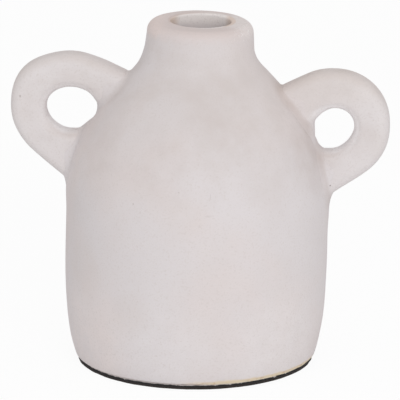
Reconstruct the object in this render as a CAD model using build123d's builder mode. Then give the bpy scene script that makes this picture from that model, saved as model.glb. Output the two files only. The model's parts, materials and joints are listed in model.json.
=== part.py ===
from build123d import *
from math import cos, radians, sin, tan
import os

# Two-handled bud vase in matte white ceramic, on a thin stuck-on base pad.
# Millimetres, +Z up. The origin is on the floor under the middle of the base,
# and +X points to the right handle. Radii are from the pot's own axis.

# Pot wall, from the floor to the rim
lean = 0.8                # degrees that the pot's axis tips towards the right handle
belly_radius = 52.6
belly_height = 50.0
heel_tuck = 2.6           # of the heel inside the belly
heel_height = 9.0
toe_tuck = 5.4            # inside the belly, where the wall would meet the floor
toe_angle = 32.0          # degrees off upright that the wall leaves the floor
shoulder_rise = 40.0      # from the belly to the corner that the shoulder bend rounds
shoulder_bend = 63.0
shoulder_angle = 48.0     # degrees of the sloping shoulder above level
neck_bend = 16.0
neck_length = 15.8        # from the corner under the neck to the rim
neck_taper = 1.4          # of the neck's radius, from that corner to the rim
mouth_radius = 12.9
lip_width = 8.0
lip_rounding = 4.8        # outside edge of the lip
mouth_rounding = 1.0      # inside edge of the lip
foot_rounding = 0.3

# Inside of the pot
wall = 6.5
floor_thickness = 7.5
floor_bend = 13.0
throat_rounding = 6.0

# Handles: flat-sided rings whose backs are cut to the shoulder
handle_depth = 12.4       # front to back
handle_rounding = 4.2     # of the front and back edges
ring_radius = 22.6        # outside
root_radius = 4.3         # of the ring's corners, buried in the wall before they are cut off
root_depth = 5.5          # of those corners under the wall's surface

# Each handle as it was set by hand, the left one a little higher
left_upper_root = 11.1    # down the slope from the neck's corner
left_lower_root = 7.9     # degrees round the shoulder bend
left_ring_overhang = 0.1  # of the ring's middle beyond the belly
left_ring_rise = 12.2     # of the ring's middle above the shoulder's corner
left_hole_length = 21.3
left_hole_width = 17.5
left_hole_tilt = 8.9      # degrees of the hole's length above level
left_hole_inset = 2.4     # of the hole towards the pot from the ring's middle
left_hole_drop = 0.5      # of the hole below the ring's middle
right_upper_root = 17.5
right_lower_root = 4.4
right_ring_overhang = 1.3
right_ring_rise = 8.4
right_hole_length = 19.4
right_hole_width = 15.6
right_hole_tilt = 40.0
right_hole_inset = 0.8
right_hole_drop = 1.8

# Slip that beds each root on the wall
slip_thickness = 0.6
slip_bead = 0.5           # squeezed out all round the root
seat_gap = 0.06           # clearance of a root over its slip

# Base pad and its adhesive
pad_thickness = 2.0
pad_tuck = 5.9            # of the pad inside the belly
adhesive_thickness = 0.4
adhesive_bead = 0.1       # squeezed out past the pad

# Levels and radii that follow from the sizes
toe_radius = belly_radius - toe_tuck
heel_radius = belly_radius - heel_tuck
inner_radius = belly_radius - wall
rim_radius = mouth_radius + lip_width
neck_radius = rim_radius + neck_taper
crest_radius = mouth_radius + lip_width * mouth_rounding / (mouth_rounding + lip_rounding)
pad_radius = belly_radius - pad_tuck
foot_height = pad_thickness + adhesive_thickness
floor_height = foot_height + floor_thickness
slope = tan(radians(shoulder_angle))
shoulder_height = belly_height + shoulder_rise
neck_height = shoulder_height + (belly_radius - neck_radius) * slope
rim_height = neck_height + neck_length
inner_drop = wall / cos(radians(shoulder_angle))
inner_shoulder_height = shoulder_height + wall * slope - inner_drop
throat_height = shoulder_height + (belly_radius - mouth_radius) * slope - inner_drop
bend_height = shoulder_height - shoulder_bend * tan(radians(90 - shoulder_angle) / 2)

# Upright planes through the pot's axis, with x out along each handle and y up the axis
right_plane = Plane.XZ.rotated((0, lean, 0))
left_plane = Plane(right_plane.origin, x_dir=-right_plane.x_dir, z_dir=-right_plane.z_dir)
pot_axis = Axis(right_plane.origin, right_plane.y_dir)


def draw_wall(layer):
    """Draw the outside of the pot from the floor to the crest of the lip, with a layer on it."""
    belly = (belly_radius + layer, belly_height)
    Spline(
        (toe_radius + layer, 0),
        (heel_radius + layer, heel_height),
        belly,
        tangents=[(tan(radians(toe_angle)), 1), (0, 1)],
    )
    FilletPolyline(
        belly,
        (belly_radius + layer, shoulder_height),
        (neck_radius + layer, neck_height),
        (rim_radius + layer, rim_height),
        (crest_radius, rim_height),
        radius=[shoulder_bend, neck_bend, lip_rounding],
    )


def solid_pot(layer):
    """The pot without its hollow, with a layer on its wall, for trimming what sits there."""
    with BuildPart() as pot:
        with BuildSketch(right_plane):
            with BuildLine():
                draw_wall(layer)
                Polyline(
                    (crest_radius, rim_height),
                    (0, rim_height),
                    (0, 0),
                    (toe_radius + layer, 0),
                )
            make_face()
        revolve(axis=pot_axis)
    return pot.part


def upper_root_at(drop):
    """Middle of a ring's upper corner, under the sloping shoulder."""
    angle = radians(shoulder_angle)
    return (
        neck_radius + drop * cos(angle) - root_depth * sin(angle),
        neck_height - drop * sin(angle) - root_depth * cos(angle),
    )


def lower_root_at(turn):
    """Middle of a ring's lower corner, under the shoulder bend."""
    radius = shoulder_bend - root_depth
    return (
        belly_radius - shoulder_bend + radius * cos(radians(turn)),
        bend_height + radius * sin(radians(turn)),
    )


def ring_handle(plane, ring, upper_root, lower_root, hole, hole_size, hole_tilt, bead):
    """A flat-sided ring before its back is cut to the wall, with a bead of slip on it."""
    with BuildPart() as handle:
        with BuildSketch(plane):
            with Locations(ring):
                Circle(ring_radius + bead)
            with Locations(upper_root, lower_root):
                Circle(root_radius + bead)
            make_hull()
            with Locations(hole):
                Ellipse(
                    hole_size[0] / 2 - bead,
                    hole_size[1] / 2 - bead,
                    rotation=hole_tilt,
                    mode=Mode.SUBTRACT,
                )
        extrude(amount=handle_depth / 2 + bead, both=True)
        flat_sides = handle.faces().filter_by(Axis.Y).edges()
        fillet(flat_sides, handle_rounding)
    return handle.part


os.makedirs("parts", exist_ok=True)
bare_pot = solid_pot(0)
bedded_pot = solid_pot(slip_thickness)
seat_pot = solid_pot(slip_thickness + seat_gap)

# Hollow pot, thrown in one piece, with its foot ground level
with BuildPart() as vessel_body:
    with BuildSketch(right_plane):
        with BuildLine():
            draw_wall(0)
            FilletPolyline(
                (crest_radius, rim_height),
                (mouth_radius, rim_height),
                (mouth_radius, throat_height),
                (inner_radius, inner_shoulder_height),
                (inner_radius, floor_height),
                (0, floor_height),
                radius=[mouth_rounding, throat_rounding, shoulder_bend - wall, floor_bend],
            )
            Polyline((0, floor_height), (0, 0), (toe_radius, 0))
        make_face()
    revolve(axis=pot_axis)
    split(bisect_by=Plane.XY.offset(foot_height), keep=Keep.TOP)
    fillet(vessel_body.edges().group_by(Axis.Z)[0], foot_rounding)
vessel_body.part.label = "vessel_body"
export_step(vessel_body.part, "parts/vessel_body.step")

# Two ring handles, each cut to the wall at two roots that are bedded on slip
for side, plane, drop, turn, overhang, rise, length, width, tilt, inset, sink in (
    ("left", left_plane, left_upper_root, left_lower_root, left_ring_overhang, left_ring_rise,
     left_hole_length, left_hole_width, left_hole_tilt, left_hole_inset, left_hole_drop),
    ("right", right_plane, right_upper_root, right_lower_root, right_ring_overhang, right_ring_rise,
     right_hole_length, right_hole_width, right_hole_tilt, right_hole_inset, right_hole_drop),
):
    ring = (belly_radius + overhang, shoulder_height + rise)
    hole = (ring[0] - inset, ring[1] - sink)
    outline = (plane, ring, upper_root_at(drop), lower_root_at(turn), hole, (length, width), tilt)

    with BuildPart() as handle:
        add(ring_handle(*outline, bead=0))
        add(seat_pot, mode=Mode.SUBTRACT)
    handle.part.label = f"{side}_handle"
    export_step(handle.part, f"parts/{side}_handle.step")

    with BuildPart() as bedding:
        add(ring_handle(*outline, bead=slip_bead))
        add(bedded_pot, mode=Mode.INTERSECT)
        add(bare_pot, mode=Mode.SUBTRACT)
    lower_saddle, upper_saddle = bedding.solids().sort_by(Axis.Z)
    for end, saddle in (("upper", upper_saddle), ("lower", lower_saddle)):
        with BuildPart() as slip:
            add(saddle)
        slip.part.label = f"{side}_{end}_slip"
        export_step(slip.part, f"parts/{side}_{end}_slip.step")

# Film of adhesive under the foot
with BuildPart() as pad_adhesive:
    with BuildSketch(Plane.XY.offset(pad_thickness)):
        Circle(pad_radius + adhesive_bead)
    extrude(amount=adhesive_thickness)
pad_adhesive.part.label = "pad_adhesive"
export_step(pad_adhesive.part, "parts/pad_adhesive.step")

# Foam disc that the vase stands on
with BuildPart() as base_pad:
    with BuildSketch():
        Circle(pad_radius)
    extrude(amount=pad_thickness)
base_pad.part.label = "base_pad"
export_step(base_pad.part, "parts/base_pad.step")
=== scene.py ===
import json
import math

import bmesh
import bpy
from mathutils import Matrix, Vector, noise
from mathutils.bvhtree import BVHTree


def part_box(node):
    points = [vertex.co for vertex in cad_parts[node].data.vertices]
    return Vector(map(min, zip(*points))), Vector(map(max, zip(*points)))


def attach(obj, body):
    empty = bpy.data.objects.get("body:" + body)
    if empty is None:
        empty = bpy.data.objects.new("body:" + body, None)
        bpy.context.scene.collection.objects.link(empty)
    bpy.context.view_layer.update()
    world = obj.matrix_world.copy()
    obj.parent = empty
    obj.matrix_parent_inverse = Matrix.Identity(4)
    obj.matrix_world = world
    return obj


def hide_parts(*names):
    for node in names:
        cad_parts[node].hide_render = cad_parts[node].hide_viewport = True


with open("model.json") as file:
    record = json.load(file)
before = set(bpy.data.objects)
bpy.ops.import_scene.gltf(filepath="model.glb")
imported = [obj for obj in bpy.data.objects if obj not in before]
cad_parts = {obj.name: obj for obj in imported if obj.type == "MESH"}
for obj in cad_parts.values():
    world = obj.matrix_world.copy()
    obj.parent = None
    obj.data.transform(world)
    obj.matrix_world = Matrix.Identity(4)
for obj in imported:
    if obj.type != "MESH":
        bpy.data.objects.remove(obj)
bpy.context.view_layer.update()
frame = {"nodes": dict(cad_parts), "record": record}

# Pot: thrown in one piece from coarse clay, hollow, with a thick rounded lip.
# Its foot is ground level, and the whole outside is brushed with a matte
# pinkish-white coat that lets the brown clay show on edges and in patches.
pot_lean = math.radians(0.8)
wall_step = 0.0022
turns_of_wheel = 180
foot_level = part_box("vessel_body")[0].z
lip_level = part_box("vessel_body")[1].z
shoulder_shift = 0.0004
shoulder_zone = (0.092, 0.104)
neck_shift = -0.0010
neck_zone = (0.116, 0.128)
lip_shift = 0.0008
lip_tip = 0.012
lip_drop = 0.00045
lip_zone = (lip_level - 0.020, lip_level - 0.004)
lip_corner = 0.0003
lip_corner_from_mouth = (0.015, 0.017)
mouth_middle = Vector((0.0021, 0.0, 0.0))
mouth_edge = 0.0124
mouth_wipe = 0.065
mouth_offset = Vector((0.0, 0.0011, 0.0))
wiped_zone = (lip_level - 0.010, lip_level - 0.002)
wiped_from_mouth = (0.0132, 0.0155)
level_zone = (0.006, 0.030)
heel_top = 0.012
root_dirt_and_shade = {"left": 0.10, "right": 0.75}
root_dirt_and_shade_width = 0.010
pot_swells = [
    ((-0.0520, 0.0, 0.0350), 0.040, 0.0004),
    ((-0.0490, 0.0, 0.0100), 0.016, 0.0004),
    ((-0.0515, 0.0, 0.0715), 0.012, 0.0006),
    ((-0.0415, 0.0, 0.1010), 0.009, -0.0020),
    ((-0.0436, 0.0080, 0.0977), 0.008, -0.0010),
    ((-0.0452, 0.0060, 0.0945), 0.007, -0.0009),
    ((0.0500, 0.0, 0.0160), 0.020, 0.0003),
    ((0.0530, 0.0, 0.0640), 0.014, 0.0004),
    ((0.0500, 0.0, 0.0915), 0.008, -0.0010),
    ((0.0460, 0.0130, 0.0917), 0.008, -0.0008),
]


def cad_copy(node):
    """A welded copy of a CAD node's mesh."""
    copy = bmesh.new()
    copy.from_mesh(frame["nodes"][node].data)
    bmesh.ops.remove_doubles(copy, verts=copy.verts, dist=1e-6)
    return copy


def smooth_ramp(value, low, high):
    """0 at low, 1 at high, with a soft start and end."""
    part = min(max((value - low) / (high - low), 0.0), 1.0)
    return part * part * (3 - 2 * part)


def hand_marks(place):
    """How far a hand-worked surface stands proud at a place, in metres."""
    broad = noise.noise(place * 26)
    small = noise.noise(place * 75 + Vector((3.1, 1.7, 0.4)))
    return 0.00028 * broad + 0.00010 * small


def swelling(place, swells):
    """How far some soft swellings, each a middle, a radius and a lift, raise a place."""
    return sum(
        lift * (1 - smooth_ramp((place - Vector(middle)).length, 0.0, radius))
        for middle, radius, lift in swells
    )


handle_forms = {side: BVHTree.FromBMesh(cad_copy(f"{side}_handle")) for side in ("left", "right")}


def dirt_and_shade_at_root(place):
    """How far the coat is darkened beside a handle, from 0 to 1: partly dirt, partly painted shade
    where the handle meets the pot.
    """
    side = "left" if place.x < 0 else "right"
    from_handle = handle_forms[side].find_nearest(place)[3]
    return root_dirt_and_shade[side] * (1 - smooth_ramp(from_handle, 0.0, root_dirt_and_shade_width))


pot = cad_copy("vessel_body")
bmesh.ops.transform(pot, matrix=Matrix.Rotation(-pot_lean, 4, "Y"), verts=pot.verts)
bmesh.ops.bisect_plane(
    pot,
    geom=pot.verts[:] + pot.edges[:] + pot.faces[:],
    plane_no=(1, 0, 0),
    clear_inner=True,
    clear_outer=True,
)
bmesh.ops.delete(pot, geom=[v for v in pot.verts if v.co.y > -1e-6], context="VERTS")
outline_ends = [vert for vert in pot.verts if len(vert.link_edges) == 1]
to_axis = bmesh.ops.extrude_vert_indiv(pot, verts=outline_ends)
for vert in to_axis["verts"]:
    vert.co.x = 0
    vert.co.y = 0
for edge in pot.edges[:]:
    cuts = int(edge.calc_length() / wall_step)
    if cuts:
        bmesh.ops.subdivide_edges(pot, edges=[edge], cuts=cuts)
bmesh.ops.spin(
    pot,
    geom=pot.verts[:] + pot.edges[:],
    axis=(0, 0, 1),
    angle=2 * math.pi,
    steps=turns_of_wheel,
    use_merge=True,
)
bmesh.ops.remove_doubles(pot, verts=pot.verts, dist=1e-6)
bmesh.ops.recalc_face_normals(pot, faces=pot.faces)
bmesh.ops.transform(pot, matrix=Matrix.Rotation(pot_lean, 4, "Y"), verts=pot.verts)
pot.normal_update()
beside_root = pot.verts.layers.float.new("dirt_and_shade_by_root")
for vert in pot.verts:
    height = vert.co.z
    # Brown beside the handle roots: partly dirt, partly painted shade where handle and pot meet.
    vert[beside_root] = dirt_and_shade_at_root(vert.co)
    near_lip = smooth_ramp(height, *lip_zone)
    vert.co.x += shoulder_shift * smooth_ramp(height, *shoulder_zone) + lip_shift * near_lip
    vert.co.x += neck_shift * smooth_ramp(height, *neck_zone)
    vert.co.z -= (lip_drop + lip_tip * (vert.co.x - mouth_middle.x)) * near_lip
    from_mouth = (vert.co - mouth_middle).to_2d().length
    wiped_in = smooth_ramp(height, *wiped_zone)
    wiped_in *= 1 - smooth_ramp(from_mouth, *wiped_from_mouth)
    to_middle = mouth_middle - vert.co
    to_middle.z = 0
    vert.co += (to_middle * mouth_wipe + mouth_offset) * wiped_in
    on_corner = max(vert.normal.z, 0) * vert.normal.to_2d().length * 2
    on_corner *= near_lip * smooth_ramp(from_mouth, *lip_corner_from_mouth)
    proud = hand_marks(vert.co) + swelling(vert.co, pot_swells) + lip_corner * on_corner
    vert.co += vert.normal * proud * smooth_ramp(height, foot_level, heel_top)
    level = 1 - smooth_ramp(height, *level_zone)
    vert.co.z += vert.co.x * math.sin(pot_lean) * level
    vert.co.z = max(vert.co.z, foot_level)
pot_surface = BVHTree.FromBMesh(pot)


class Shade:
    """A shader socket that takes part in Python sums, in one material's node tree."""

    def __init__(self, tree, socket=None):
        self.tree = tree
        self.socket = socket

    def node(self, kind, settings, links, output=0):
        """Add a node, with its settings and then the values or links of its sockets."""
        made = self.tree.nodes.new("ShaderNode" + kind)
        for name, value in settings.items():
            setattr(made, name, value)
        for name, value in links.items():
            if isinstance(value, Shade):
                self.tree.links.new(value.socket, made.inputs[name])
            else:
                made.inputs[name].default_value = value
        return Shade(self.tree, made.outputs[output] if made.outputs else None)

    def sum(self, operation, first, second):
        """One step of arithmetic with two values."""
        return self.node("Math", {"operation": operation}, {0: first, 1: second})

    def __add__(self, other):
        return self.sum("ADD", self, other)

    def __sub__(self, other):
        return self.sum("SUBTRACT", self, other)

    def __rsub__(self, other):
        return self.sum("SUBTRACT", other, self)

    def __mul__(self, other):
        return self.sum("MULTIPLY", self, other)

    __radd__ = __add__


def pigment(red, green, blue):
    """A colour as it looks on paper, 0 to 255, turned into light."""
    light = [((part / 255 + 0.055) / 1.055) ** 2.4 for part in (red, green, blue)]
    return (*light, 1.0)


def new_finish(name):
    """An empty material, and the start of its shader."""
    finish = bpy.data.materials.new(name)
    finish.use_nodes = True
    finish.node_tree.nodes.clear()
    return finish, Shade(finish.node_tree)


def soft_step(value, low, high):
    """0 below low and 1 above high, on a shader value."""
    links = {"Value": value, "From Min": low, "From Max": high}
    return value.node("MapRange", {"interpolation_type": "SMOOTHSTEP"}, links)


def cloud(place, scale, detail=2.0, rough=0.5):
    """Soft noise from 0 to 1 over a place, in patches of about 1 / scale metres."""
    links = {"Vector": place, "Scale": scale, "Detail": detail, "Roughness": rough}
    return place.node("TexNoise", {}, links)


def tint(under, over, amount):
    """One colour over another."""
    return amount.node("Mix", {"data_type": "RGBA"}, {0: amount, 6: under, 7: over}, 2)


def spot(place, middle, reach):
    """1 in a small ellipsoid with the given half-lengths, fading to 0 at its edge."""
    offset = place.node("VectorMath", {"operation": "SUBTRACT"}, {0: place, 1: middle})
    scaled = place.node("VectorMath", {"operation": "DIVIDE"}, {0: offset, 1: reach})
    away = place.node("VectorMath", {"operation": "LENGTH"}, {0: scaled}, "Value")
    return 1 - soft_step(away, 0.3, 1.0)


def smudge(place, middle, radius):
    """A soft patch of another colour with a broken edge."""
    broken = soft_step(cloud(place, 150.0, 5.0, 0.65), 0.25, 0.75)
    return spot(place, middle, (radius, radius, radius)) * (0.35 + broken * 0.65)


coat_white = pigment(223, 217, 218)
coat_warm = pigment(224, 215, 214)
coat_grey = pigment(210, 201, 198)
whitest_coat = pigment(242, 239, 240)
coat_flush = pigment(242, 229, 225)
clay_brown = pigment(184, 167, 158)
clay_tan = pigment(209, 195, 187)
speck_dark = pigment(118, 102, 94)


def matte_coat(name, tones, top_shade, smudges=(), specks=(), more_marks=None):
    """The coat in two tones, with the clay showing through where it is worn, painted shade towards
    the top and on surfaces that face up, brown dirt and painted shade beside the handle roots, and
    painted light in the handle holes.
    """
    finish, shade = new_finish(name)
    place = shade.node("TexCoord", {}, {}, "Object")
    height = shade.node("SeparateXYZ", {}, {0: place}, "Z")
    upward = shade.node("SeparateXYZ", {}, {0: shade.node("NewGeometry", {}, {}, "Normal")}, "Z")
    patches = cloud(place, 22.0, 3.0)
    blotches = cloud(place, 62.0, 4.0, 0.6)
    grain = cloud(place, 1300.0, 2.0)
    colour = tint(*tones, soft_step(patches, 0.40, 0.72))
    # Grey blotches in the coat, heavier towards the top as painted shade.
    high = soft_step(height, 0.060, 0.100)
    colour = tint(colour, coat_grey, soft_step(blotches, 0.38, 0.75) * (0.12 + high * 0.38))
    # Painted shade: surfaces that face up are tinted toward tan clay.
    colour = tint(colour, clay_tan, soft_step(upward, *top_shade) * (0.14 + blotches * 0.26))
    # Brown beside the handle roots: partly dirt, partly painted shade where handle and pot meet.
    dirt_and_shade_by_root = shade.node("Attribute", {"attribute_name": "dirt_and_shade_by_root"}, {}, "Fac")
    colour = tint(colour, clay_brown, soft_step(dirt_and_shade_by_root * (0.5 + blotches), 0.15, 1.0) * 0.45)
    for middle, radius, strength, patch_colour in smudges:
        colour = tint(colour, patch_colour, smudge(place, middle, radius) * strength)
    for middle, reach, strength in specks:
        colour = tint(colour, speck_dark, spot(place, middle, reach) * strength)
    if more_marks:
        colour = more_marks(shade, place, colour)
    # Painted light: the coat is made whiter inside the handle holes, by the hole attribute.
    painted_hole_light = shade.node("Attribute", {"attribute_name": "hole"}, {}, "Fac")
    colour = tint(colour, whitest_coat, painted_hole_light)
    colour = tint(colour, coat_grey, soft_step(grain, 0.50, 0.80) * 0.55)
    relief = grain * 0.35 + blotches * 0.65
    normal = shade.node(
        "Bump", {}, {"Strength": 0.35, "Distance": 0.0006, "Height": relief}, "Normal"
    )
    surface = shade.node(
        "BsdfPrincipled",
        {},
        {
            "Base Color": colour,
            "Roughness": 0.82 + blotches * 0.14,
            "Specular IOR Level": 0.22,
            "Normal": normal,
        },
    )
    shade.node("OutputMaterial", {}, {"Surface": surface})
    return finish


hard_turn = math.radians(50)


def as_piece(name, mesh_form, finish, slot, *nodes):
    """Turn a bmesh into a piece that rides on the vase and stands for its CAD nodes."""
    for edge in mesh_form.edges:
        edge.smooth = edge.calc_face_angle(0.0) < hard_turn
    for face in mesh_form.faces:
        face.smooth = True
    mesh = bpy.data.meshes.new(name)
    mesh_form.to_mesh(mesh)
    mesh_form.free()
    mesh.materials.append(finish)
    piece = bpy.data.objects.new(name, mesh)
    bpy.context.scene.collection.objects.link(piece)
    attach(piece, "root")
    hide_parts(*nodes)
    return piece


def distance(value, middle):
    """How far a shader value lies from a middle."""
    return value.node("Math", {"operation": "ABSOLUTE"}, {0: value - middle})


bare_width = 0.0013
bare_edge = pigment(182, 160, 147)
throat_painted_light = pigment(254, 248, 246)
throat_tan = pigment(214, 180, 152)
lip_worn_and_painted_shade = pigment(221, 206, 202)
lip_left = pigment(233, 217, 212)
lip_right = pigment(238, 231, 229)
crumb_white = pigment(240, 235, 233)
stain_pale = pigment(226, 209, 178)
stain_deep = pigment(203, 167, 116)


def pot_marks(shade, place, colour):
    """The bare edge of the mouth, painted light in the throat, painted shade on the neck, a darker
    lip (partly wear, partly painted shade on its top), the crumbly lip, and adhesive that crept up
    from the foot.
    """
    along = shade.node("SeparateXYZ", {}, {0: place}, "X")
    depth = shade.node("SeparateXYZ", {}, {0: place}, "Y")
    height = shade.node("SeparateXYZ", {}, {0: place}, "Z")
    wiped_middle = mouth_middle + mouth_offset
    offset = shade.node("VectorMath", {"operation": "SUBTRACT"}, {0: place, 1: wiped_middle})
    level = shade.node("VectorMath", {"operation": "MULTIPLY"}, {0: offset, 1: (1, 1, 0)})
    from_mouth = shade.node("VectorMath", {"operation": "LENGTH"}, {0: level}, "Value")
    wander = cloud(place, 320.0, 3.0)
    on_edge = soft_step(height, lip_level - 0.0012, lip_level - 0.0006)
    from_edge = distance(from_mouth + (wander - 0.5) * 0.0012, mouth_edge)
    bare = (1 - soft_step(from_edge, 0.0, bare_width)) * on_edge
    colour = tint(colour, bare_edge, bare * (0.70 + wander * 0.3))
    in_throat = 1 - soft_step(from_mouth, mouth_edge + 0.0014, mouth_edge + 0.0020)
    in_throat = in_throat * soft_step(height, lip_level - 0.040, lip_level - 0.030)
    in_throat = in_throat * (1 - soft_step(height, lip_level - 0.0010, lip_level - 0.0004))
    # Painted light: the inner wall of the throat just under the lip is made whiter.
    near_edge = soft_step(height, lip_level - 0.0065, lip_level - 0.0025)
    colour = tint(colour, throat_painted_light, in_throat * near_edge)
    at_ends = soft_step(distance(along, wiped_middle.x), 0.0085, 0.0115)
    colour = tint(colour, throat_tan, in_throat * at_ends * 0.60)
    # Painted shade: the neck is greyed, except towards its left.
    neck_painted_shade = soft_step(height, 0.106, 0.120) * soft_step(along, -0.018, -0.004)
    colour = tint(colour, coat_grey, neck_painted_shade * 0.30)
    on_lip = soft_step(height + (wander - 0.5) * 0.004, lip_level - 0.007, lip_level - 0.001)
    on_lip = on_lip * (1 - in_throat)
    # A darker lip: partly wear, partly painted shade on its top.
    colour = tint(colour, lip_worn_and_painted_shade, on_lip * 0.6)
    left_lip = on_lip * (1 - soft_step(along, -0.016, -0.008))
    right_lip = on_lip * soft_step(along, 0.011, 0.016) * soft_step(depth, -0.014, -0.006)
    colour = tint(colour, lip_left, left_lip * 0.6)
    colour = tint(colour, lip_right, right_lip * 0.6)
    crumbs = soft_step(cloud(place, 900.0, 3.0, 0.7), 0.56, 0.64)
    crumbly = soft_step(height, lip_level - 0.009, lip_level - 0.003) * soft_step(along, 0.014, 0.019)
    colour = tint(colour, crumb_white, crumbs * crumbly * 0.8)
    creep = 1 - soft_step(height + (wander - 0.5) * 0.0016, foot_level + 0.0006, foot_level + 0.0016)
    front_right = soft_step(along, -0.006, 0.016) * (1 - soft_step(depth, -0.012, -0.004))
    stained = tint(stain_pale, stain_deep, soft_step(wander, 0.52, 0.70))
    return tint(colour, stained, creep * front_right * 0.85)


pot_smudges = [
    ((0.001, -0.034, 0.1119), 0.016, 0.05, clay_brown),
    ((0.0148, -0.0361, 0.1051), 0.018, 0.10, clay_brown),
    ((0.0060, -0.0400, 0.0980), 0.022, 0.04, clay_brown),
    ((-0.0100, -0.0440, 0.0900), 0.022, 0.12, clay_brown),
    ((0.0330, -0.0340, 0.0900), 0.022, 0.12, clay_brown),
    ((-0.0381, -0.0193, 0.0978), 0.022, 0.12, clay_brown),
    ((-0.0395, -0.0297, 0.0821), 0.022, 0.08, clay_brown),
    ((-0.0423, -0.0302, 0.0439), 0.016, 0.25, clay_tan),
    ((-0.0213, -0.0474, 0.0303), 0.012, 0.22, clay_tan),
    ((0.0018, -0.0521, 0.0715), 0.010, 0.12, clay_tan),
    # Painted shade: the pot's right side darkened towards the right handle.
    ((0.0470, -0.0130, 0.0880), 0.022, 0.30, clay_brown),
    ((-0.0480, -0.0120, 0.0840), 0.022, 0.35, coat_flush),
    ((-0.0400, -0.0080, 0.1010), 0.014, 0.25, coat_flush),
    ((-0.0420, -0.0310, 0.0120), 0.034, 0.40, coat_flush),
    ((-0.0060, -0.0520, 0.0160), 0.030, 0.20, whitest_coat),
    ((0.0380, -0.0340, 0.0120), 0.034, 0.34, whitest_coat),
    ((-0.0082, -0.0198, 0.1268), 0.012, 0.10, clay_brown),
]
pot_specks = [
    ((-0.0203, -0.0471, 0.0757), (0.0005, 0.003, 0.0005), 0.25),
    ((-0.0022, -0.0503, 0.0817), (0.0004, 0.003, 0.0004), 0.20),
    ((0.0095, -0.0510, 0.0725), (0.0022, 0.003, 0.0006), 0.08),
    ((0.0061, -0.0515, 0.0685), (0.0006, 0.003, 0.0009), 0.08),
    ((0.0083, -0.0509, 0.0766), (0.0010, 0.003, 0.0003), 0.06),
    ((0.0104, -0.0497, 0.0802), (0.0002, 0.003, 0.0016), 0.16),
]
pot_tones = (coat_white, coat_warm)
pot_top_shade = (0.30, 0.95)
pot_coat = matte_coat("pot_coat", pot_tones, pot_top_shade, pot_smudges, pot_specks, pot_marks)
pot_piece = as_piece("pot", pot, pot_coat, "ceramic", "vessel_body")

# Handles: flat-sided rings of the same clay, cut to the shoulder at both ends
# and pressed on. They are shaped by hand, so each ring is a little uneven.
ring_voxel = 0.0006
ring_strokes = 8
ring_corners = {
    "left": [
        ((-0.0705, 0.0, 0.1175), 0.016, 0.0013),
        ((-0.0690, 0.0, 0.0900), 0.016, -0.0005),
        ((-0.0420, 0.0, 0.1220), 0.014, 0.0006),
        ((-0.0360, 0.0, 0.1170), 0.012, 0.0005),
    ],
    "right": [
        ((0.0660, 0.0, 0.0790), 0.014, 0.0006),
        ((0.0700, 0.0, 0.1130), 0.018, 0.0005),
        ((0.0765, 0.0, 0.0865), 0.012, 0.0004),
        ((0.0450, 0.0, 0.1165), 0.014, 0.0003),
        ((0.0505, 0.0, 0.1005), 0.008, 0.0010),
    ],
}
ring_drop = {"left": 0.0003, "right": 0.0}
hole_relief = 0.0005
hole_wall_painted_light = {"left": 0.4, "right": 0.75}
hole_floor_painted_light = 0.8
clear_zone = (0.002, 0.008)
openings = {opening["name"]: opening["box_m"] for opening in frame["record"]["physics"]["openings"]}
hole_middles = {}
for side in ("left", "right"):
    low_corner, high_corner = openings[f"{side}_finger_gap"]
    hole_middles[side] = (Vector(low_corner) + Vector(high_corner)) / 2
rings = {}


def smooth(clay, verts):
    """One stroke of a wet finger over some of the clay."""
    bmesh.ops.smooth_vert(
        clay, verts=verts, factor=0.5, use_axis_x=True, use_axis_y=True, use_axis_z=True
    )


def worked_clay(rough, voxel, strokes):
    """One even mesh over the closed forms of a bmesh, smoothed by a number of strokes."""
    mesh = bpy.data.meshes.new("rough")
    rough.to_mesh(mesh)
    rough.free()
    lump = bpy.data.objects.new("rough", mesh)
    bpy.context.scene.collection.objects.link(lump)
    remesh = lump.modifiers.new("even", "REMESH")
    remesh.mode = "VOXEL"
    remesh.voxel_size = voxel
    ready = lump.evaluated_get(bpy.context.evaluated_depsgraph_get())
    clay = bmesh.new()
    clay.from_mesh(ready.data)
    bpy.data.objects.remove(lump)
    bpy.data.meshes.remove(mesh)
    for _ in range(strokes):
        smooth(clay, clay.verts)
    clay.normal_update()
    return clay


def height_over(surface, point):
    """Height of a point over a surface, below 0 inside it, and the surface's direction there."""
    foot, direction, _, _ = surface.find_nearest(point)
    return (point - foot).dot(direction), direction


def facing_hole(vert, hole_middle):
    """How squarely a place on a handle faces the middle of its hole, from -1 to 1."""
    to_hole = hole_middle - vert.co
    to_hole.y = 0
    return vert.normal.dot(to_hole.normalized())


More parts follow.
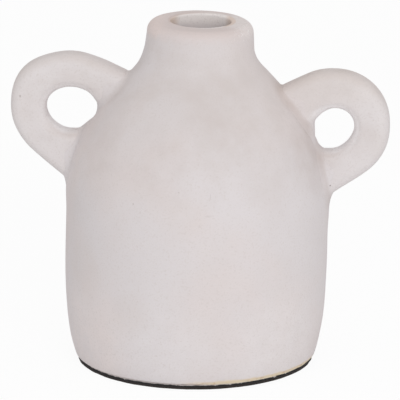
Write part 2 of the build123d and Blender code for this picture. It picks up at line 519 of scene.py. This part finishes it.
handle_specks = [
    ((0.0396, -0.0062, 0.1070), (0.0004, 0.003, 0.0004), 0.6),
    ((-0.0697, -0.0061, 0.1081), (0.0005, 0.003, 0.0008), 0.4),
    ((0.0547, -0.0032, 0.0874), (0.0014, 0.005, 0.0003), 0.30),
]
handle_tones = (pigment(226, 220, 220), pigment(224, 216, 214))
handle_smudges = [
    ((0.0530, -0.0060, 0.0865), 0.009, 0.22, clay_brown),
    ((0.0440, -0.0060, 0.1170), 0.012, 0.15, clay_tan),
]
handle_top_shade = (0.08, 0.70)
handle_coat = matte_coat("handle_coat", handle_tones, handle_top_shade, handle_smudges, handle_specks)
for side in ("left", "right"):
    ring = worked_clay(cad_copy(f"{side}_handle"), ring_voxel, ring_strokes)
    hole_middle = hole_middles[side]
    painted_hole_light = ring.verts.layers.float.new("hole")
    for vert in ring.verts:
        faces_hole = facing_hole(vert, hole_middle)
        from_pot, _ = height_over(pot_surface, vert.co)
        clear_of_pot = smooth_ramp(from_pot, *clear_zone)
        # Painted light: the walls and floor of the hole are made whiter, less so next to the pot.
        on_floor = smooth_ramp(vert.normal.z, 0.2, 0.7)
        painted_wall_light = hole_wall_painted_light[side] * smooth_ramp(faces_hole, 0.0, 0.7) * (1 - on_floor)
        painted_floor_light = hole_floor_painted_light * smooth_ramp(faces_hole, 0.6, 1.0) * on_floor
        vert[painted_hole_light] = (painted_wall_light + painted_floor_light) * (0.5 + 0.5 * clear_of_pot)
        relief = hole_relief * smooth_ramp(faces_hole, 0.0, 0.6) * clear_of_pot
        proud = hand_marks(vert.co) + swelling(vert.co, ring_corners[side])
        vert.co += vert.normal * (proud - relief)
        vert.co.z -= ring_drop[side]
    ring.normal_update()
    rings[side] = as_piece(f"{side}_ring", ring, handle_coat, "ceramic", f"{side}_handle")

# Slip: liquid clay brushed on each root before it is pressed on, then drawn out
# with a wet finger into coves that run together across the back of the hole.
slip_voxel = 0.0006
slip_strokes = 4
slip_depth = 0.0004
least_slip = 0.00003
feather_height = 0.00006
feather_depth = 0.00008
root_height = 0.0012
root_bury = 0.0022
wall_from = 0.020
wall_half_depth = 0.022
wall_below = 0.014
wall_above = 0.012
wall_backing = 0.004
clear_of_wall = 0.09
finger_strokes = {
    ("left", "upper"): 120,
    ("left", "lower"): 400,
    ("right", "upper"): 100,
    ("right", "lower"): 400,
}
front_strokes = {"left": 0.12, "right": 0.6}
finger_width = 0.0090
top_strokes = {"left": 0.10, "right": 0.45}
web_thickness = {"left": (0.0014, 0.0002, 0.0018), "right": (0.0012, 0.0000, 0.0030)}
toe_thickness = {
    "left": [(0.001, 0.0006)],
    "right": [(0.000, 0.0014), (0.003, 0.0006)],
}
web_radius = 0.0050
web_dabs = 12
web_overrun = 1.15
web_painted_light = {"left": 0.20, "right": 0.25}
slip_specks = [((0.0547, -0.0062, 0.0739), (0.0004, 0.004, 0.0004), 0.8)]
slip_coat = matte_coat("slip_coat", pot_tones, pot_top_shade, handle_smudges, slip_specks)


def patches_of(clay):
    """The separate patches of clay, each a set of faces."""
    patches = []
    loose = set(clay.faces)
    while loose:
        patch = set()
        to_visit = [loose.pop()]
        while to_visit:
            face = to_visit.pop()
            patch.add(face)
            beside = {other for edge in face.edges for other in edge.link_faces} & loose
            loose -= beside
            to_visit.extend(beside)
        patches.append(patch)
    return patches


for side in ("left", "right"):
    facing = -1 if side == "left" else 1
    upper_slip, lower_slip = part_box(f"{side}_upper_slip"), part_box(f"{side}_lower_slip")
    hole_height = (upper_slip[0].z + lower_slip[1].z) / 2
    hole_half = (upper_slip[0].z - lower_slip[1].z) / 2
    ring = bmesh.new()
    ring.from_mesh(rings[side].data)
    ring_surface = BVHTree.FromBMesh(ring)
    for vert in ring.verts:
        height, out = height_over(pot_surface, vert.co)
        if height < root_height:
            vert.co -= out * root_bury
    buried = bpy.data.meshes.new("buried")
    ring.to_mesh(buried)
    ring.free()

    joint = bmesh.new()
    joint.from_mesh(pot_piece.data)
    spare = []
    for face in joint.faces:
        middle = face.calc_center_median()
        beside = middle.x * facing > wall_from and abs(middle.y) < wall_half_depth
        level = lower_slip[0].z - wall_below < middle.z < upper_slip[1].z + wall_above
        if not (beside and level and face.normal.x * facing > 0):
            spare.append(face)
    bmesh.ops.delete(joint, geom=spare, context="FACES")
    bmesh.ops.solidify(joint, geom=joint.faces[:], thickness=wall_backing)
    joint.from_mesh(buried)
    bpy.data.meshes.remove(buried)
    low_end, thin, high_end = web_thickness[side]
    dabs = [(lower_slip[0].z - drop, lift) for drop, lift in toe_thickness[side]]
    for step in range(-web_dabs, web_dabs + 1):
        lift = thin + ((high_end if step > 0 else low_end) - thin) * (step / web_dabs) ** 2
        dabs.append((hole_height + hole_half * web_overrun * step / web_dabs, lift))
    for level, lift in dabs:
        beside = Vector((clear_of_wall * facing, 0, level))
        foot, out, _, _ = pot_surface.ray_cast(beside, Vector((-facing, 0, 0)))
        middle = Matrix.Translation(foot + out * (lift - web_radius))
        bmesh.ops.create_icosphere(joint, subdivisions=3, radius=web_radius, matrix=middle)
    joint = worked_clay(joint, slip_voxel, slip_strokes)

    dirt_and_shade_by_root = joint.verts.layers.float.new("dirt_and_shade_by_root")
    painted_hole_light = joint.verts.layers.float.new("hole")
    hole_middle = hole_middles[side]
    strokes = {}
    for vert in joint.verts:
        over_pot, _ = height_over(pot_surface, vert.co)
        over_ring, _ = height_over(ring_surface, vert.co)
        away = max(over_pot, over_ring)
        if over_pot > -0.001 and away < finger_width:
            toward_top = smooth_ramp(vert.co.z, hole_height - 0.006, hole_height + 0.004)
            reach = 1 - smooth_ramp(away, finger_width * 0.35, finger_width)
            on_top = smooth_ramp(vert.co.z, upper_slip[1].z - 0.006, upper_slip[1].z - 0.001)
            reach *= 1 - on_top * (1 - top_strokes[side])
            over_foot = smooth_ramp(vert.co.z, lower_slip[0].z + 0.002, lower_slip[0].z + 0.007)
            lower = finger_strokes[side, "lower"] * (1 - over_foot * (1 - front_strokes[side]))
            upper = finger_strokes[side, "upper"]
            strokes[vert] = int((lower + (upper - lower) * toward_top) * reach)
    for stroke in range(max(strokes.values())):
        smooth(joint, [v for v, count in strokes.items() if count > stroke])
    joint.normal_update()

    kept = set()
    for vert in strokes:
        over_pot, pot_out = height_over(pot_surface, vert.co)
        over_ring, ring_out = height_over(ring_surface, vert.co)
        proud = min(over_pot, over_ring)
        inward = pot_out if over_pot < over_ring else ring_out
        vert.co -= inward * feather_depth * (1 - smooth_ramp(proud, 0.0, feather_height))
        # Brown on the slip by the pot: partly dirt, partly painted shade where handle and pot meet.
        vert[dirt_and_shade_by_root] = dirt_and_shade_at_root(vert.co) * (1 - smooth_ramp(over_pot, 0.0008, 0.0030))
        # Painted light: the slip across the back of the hole is made whiter.
        in_hole = 1 - smooth_ramp(abs(vert.co.y), 0.003, 0.007)
        in_hole *= smooth_ramp(facing_hole(vert, hole_middle), 0.4, 1.0)
        vert[painted_hole_light] = web_painted_light[side] * in_hole
        if proud > least_slip:
            kept.add(vert)
    spare = [face for face in joint.faces if not any(v in kept for v in face.verts)]
    bmesh.ops.delete(joint, geom=spare, context="FACES")
    main_patch = max(patches_of(joint), key=len)
    flakes = [face for face in joint.faces if face not in main_patch]
    bmesh.ops.delete(joint, geom=flakes, context="FACES")
    bmesh.ops.solidify(joint, geom=joint.faces[:], thickness=slip_depth)
    bmesh.ops.recalc_face_normals(joint, faces=joint.faces)
    as_piece(f"{side}_slip", joint, slip_coat, "slip", f"{side}_upper_slip", f"{side}_lower_slip")

# Adhesive: the yellowed film that holds the pad under the foot. A little of it
# squeezed out at the front and right before it set.
pressed_out = 0.0006
film_segments = 240
film_ripple = 0.0003
film_squeeze = 0.0015
film_inset = 0.0010
glue_pale = pigment(236, 225, 203)
glue_brown = pigment(206, 174, 124)


def cut_disc(radius, segments, low, high):
    """A flat disc between two levels."""
    disc = bmesh.new()
    bmesh.ops.create_circle(disc, cap_ends=True, segments=segments, radius=radius)
    bmesh.ops.translate(disc, vec=(0, 0, low), verts=disc.verts)
    raised = bmesh.ops.extrude_face_region(disc, geom=disc.faces[:])
    top = [part for part in raised["geom"] if isinstance(part, bmesh.types.BMVert)]
    bmesh.ops.translate(disc, vec=(0, 0, high - low), verts=top)
    bmesh.ops.recalc_face_normals(disc, faces=disc.faces)
    return disc


def move_edge(vert, radius, outward):
    """Move a vertex of a disc out from the disc's middle."""
    vert.co.x *= 1 + outward / radius
    vert.co.y *= 1 + outward / radius


film_low, film_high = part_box("pad_adhesive")
film = cut_disc(film_high.x + pressed_out, film_segments, film_low.z, film_high.z)
for vert in film.verts:
    squeezed = smooth_ramp(vert.co.x, -0.010, 0.020) * (1 - smooth_ramp(vert.co.y, -0.012, 0.0))
    ripple = noise.noise(vert.co * 160) * film_ripple
    move_edge(vert, film_high.x, ripple + film_squeeze * squeezed - film_inset)
glue_finish, glue = new_finish("yellowed_adhesive")
glue_place = glue.node("TexCoord", {}, {}, "Object")
glue_patches = cloud(glue_place, 220.0, 3.0)
glue_colour = tint(glue_pale, glue_brown, soft_step(glue_patches, 0.48, 0.72))
glue_surface = glue.node(
    "BsdfPrincipled",
    {},
    {"Base Color": glue_colour, "Roughness": 0.45 + glue_patches * 0.3, "Specular IOR Level": 0.4},
)
glue.node("OutputMaterial", {}, {"Surface": glue_surface})
as_piece("adhesive_film", film, glue_finish, "adhesive", "pad_adhesive")

# Base pad: a disc of black foam cut by hand from a 2 mm sheet. Its edge is
# ragged, with flecks of the white coat on top and brown dust below.
pad_segments = 360
pad_side_cuts = 5
ragged_broad = 0.00018
ragged_fine = 0.00010
foam_black = pigment(45, 43, 44)
foam_dusty = pigment(66, 57, 52)
fleck_white = pigment(214, 208, 204)
brush_white = pigment(206, 198, 196)
pad_low, pad_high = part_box("base_pad")
pad_height = pad_high.z - pad_low.z
disc = cut_disc(pad_high.x + pressed_out, pad_segments, pad_low.z, pad_high.z)
cut_sides = [e for e in disc.edges if abs(e.verts[0].co.z - e.verts[1].co.z) > pad_height / 2]
bmesh.ops.subdivide_edges(disc, edges=cut_sides, cuts=pad_side_cuts, use_grid_fill=True)
for vert in disc.verts:
    ragged = noise.noise(vert.co * 210) * ragged_broad + noise.noise(vert.co * 700) * ragged_fine
    move_edge(vert, pad_high.x, ragged)
foam_finish, foam = new_finish("black_foam")
foam_place = foam.node("TexCoord", {}, {}, "Object")
foam_height = foam.node("SeparateXYZ", {}, {0: foam_place}, "Z")
foam_along = foam.node("SeparateXYZ", {}, {0: foam_place}, "X")
foam_cells = foam.node(
    "TexVoronoi", {"feature": "F1"}, {"Vector": foam_place, "Scale": 2600.0}, "Distance"
)
foam_dust = cloud(foam_place, 420.0, 3.0, 0.6)
low_dust = (1 - soft_step(foam_height, 0.0002, 0.0012)) * foam_dust
foam_colour = tint(foam_black, foam_dusty, low_dust)
flecks = soft_step(foam_dust + soft_step(foam_height, 0.0008, 0.0020) * 0.22, 0.74, 0.80)
foam_colour = tint(foam_colour, fleck_white, flecks * 0.85)
brushed = soft_step(foam_height + (foam_dust - 0.5) * 0.0008, 0.00150, 0.00175)
brushed = brushed * (1 - soft_step(foam_along, 0.010, 0.030))
foam_colour = tint(foam_colour, brush_white, brushed)
foam_normal = foam.node(
    "Bump", {}, {"Strength": 0.6, "Distance": 0.0002, "Height": foam_cells}, "Normal"
)
foam_surface = foam.node(
    "BsdfPrincipled",
    {},
    {
        "Base Color": foam_colour,
        "Roughness": 0.75 + foam_cells * 0.25,
        "Specular IOR Level": 0.25,
        "Normal": foam_normal,
    },
)
foam.node("OutputMaterial", {}, {"Surface": foam_surface})
as_piece("foam_disc", disc, foam_finish, "foam", "base_pad")

# Studio: a white sheet under the vase, soft light from the front and a little to
# the right, and a long lens a little above the mouth.
sheet_size = 4.0
paper_white = (0.94, 0.94, 0.94, 1.0)
paper_glow = 0.93
pure_white = (1.0, 1.0, 1.0, 1.0)
room_strength = 0.69
vase_middle = Vector((0, 0, 0.07))


def seen_directly(shade):
    """1 for rays from the camera, off a shiny surface or through a clear one, else 0."""
    seen = shade.node("LightPath", {}, {}, "Is Camera Ray")
    shiny = shade.node("LightPath", {}, {}, "Is Glossy Ray")
    clear = shade.node("LightPath", {}, {}, "Is Transmission Ray")
    return shade.sum("MAXIMUM", seen, shade.sum("MAXIMUM", shiny, clear))


paper = bmesh.new()
bmesh.ops.create_grid(paper, x_segments=1, y_segments=1, size=sheet_size / 2)
paper_mesh = bpy.data.meshes.new("paper")
paper.to_mesh(paper_mesh)
paper.free()
paper_sheet = bpy.data.objects.new("paper", paper_mesh)
bpy.context.scene.collection.objects.link(paper_sheet)
paper_finish, white = new_finish("white_paper")
diffuse = white.node("BsdfDiffuse", {}, {"Color": paper_white})
glow = white.node("Emission", {}, {"Color": pure_white, "Strength": 1.0})
glowing = seen_directly(white) * paper_glow
paper_surface = white.node("MixShader", {}, {0: glowing, 1: diffuse, 2: glow})
white.node("OutputMaterial", {}, {"Surface": paper_surface})
paper_mesh.materials.append(paper_finish)

world = bpy.data.worlds.new("studio")
bpy.context.scene.world = world
world.use_nodes = True
world.node_tree.nodes.clear()
sky = Shade(world.node_tree)
room = sky.node("Background", {}, {"Color": pure_white, "Strength": room_strength})
backdrop = sky.node("Background", {}, {"Color": pure_white, "Strength": 1.0})
sky_surface = sky.node("MixShader", {}, {0: seen_directly(sky), 1: room, 2: backdrop})
sky.node("OutputWorld", {}, {"Surface": sky_surface})

key_place = Vector((0.55, -1.60, 0.85))
key_light = bpy.data.lights.new("front_softbox", "AREA")
key_light.shape = "DISK"
key_light.size = 0.9
key_light.energy = 9.2
key_lamp = bpy.data.objects.new("front_softbox", key_light)
key_lamp.location = key_place
key_lamp.rotation_euler = (vase_middle - key_place).to_track_quat("-Z", "Y").to_euler()
bpy.context.scene.collection.objects.link(key_lamp)

view_azimuth = math.radians(5.0)
view_height = math.radians(15.2)
view_distance = 2.0
back = Vector(
    (
        math.sin(view_azimuth) * math.cos(view_height),
        -math.cos(view_azimuth) * math.cos(view_height),
        math.sin(view_height),
    )
)
lens = bpy.data.cameras.new("camera")
lens.sensor_width = 36.0
lens.lens = 447.9
lens.shift_x = 0.0120
lens.shift_y = -0.0304
lens.clip_end = 20.0
camera = bpy.data.objects.new("camera", lens)
camera.location = vase_middle + back * view_distance
camera.rotation_euler = (-back).to_track_quat("-Z", "Y").to_euler()
bpy.context.scene.collection.objects.link(camera)
bpy.context.scene.camera = camera
bpy.context.scene.view_settings.view_transform = "Standard"
